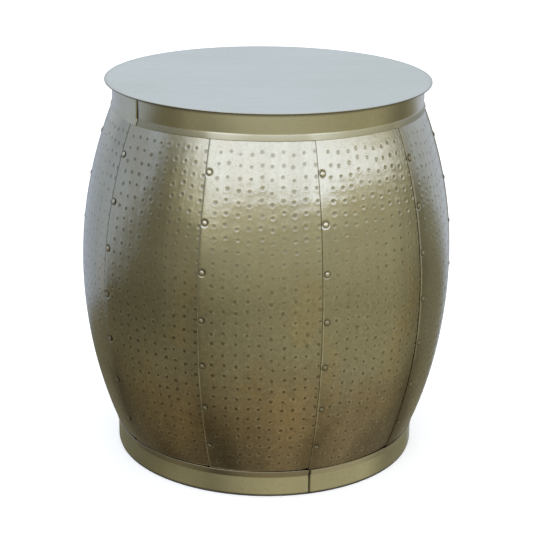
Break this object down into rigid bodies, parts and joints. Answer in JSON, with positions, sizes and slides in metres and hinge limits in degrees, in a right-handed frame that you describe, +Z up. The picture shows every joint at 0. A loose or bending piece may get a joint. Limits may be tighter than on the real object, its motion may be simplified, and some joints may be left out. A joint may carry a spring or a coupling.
{
  "type": "drum side table",
  "caption": "Barrel-shaped metal side table of lapped, riveted hammered staves between plain collars, with a thin flat round top and an open underside.",
  "frame": {"origin": "on the floor, at the centre of the drum", "axes": "+Z up, the front of the table faces -Y, +X to the right seen from the front"},
  "size_m": [0.4516, 0.4466, 0.457],
  "materials": {
    "top_sheet": "satin, fine circular brushing",
    "collar_strip": "satin antique brass",
    "stave_sheet": "hammered antique brass",
    "rivet": "worn antique brass",
    "hoop_bar": "black lacquer on flat bar",
    "foot_rubber": "matt"
  },
  "bodies": {
    "root": {"top_disc": "top_sheet", "upper_collar": "collar_strip", "base_ring": "collar_strip", "upper_hoop": "hoop_bar", "lower_hoop": "hoop_bar", "top_brace_crosswise": "hoop_bar", "top_brace_lengthwise": "hoop_bar", "rubber_foot_ring": "foot_rubber", "stave_01": "stave_sheet", "stave_02": "stave_sheet", "stave_03": "stave_sheet", "stave_04": "stave_sheet", "stave_05": "stave_sheet", "stave_06": "stave_sheet", "stave_07": "stave_sheet", "stave_08": "stave_sheet", "stave_09": "stave_sheet", "stave_10": "stave_sheet", "seam_rivets_01": "rivet", "seam_rivets_02": "rivet", "seam_rivets_03": "rivet", "seam_rivets_04": "rivet", "seam_rivets_05": "rivet", "seam_rivets_06": "rivet", "seam_rivets_07": "rivet", "seam_rivets_08": "rivet", "seam_rivets_09": "rivet", "seam_rivets_10": "rivet"}
  },
  "joints": []
}
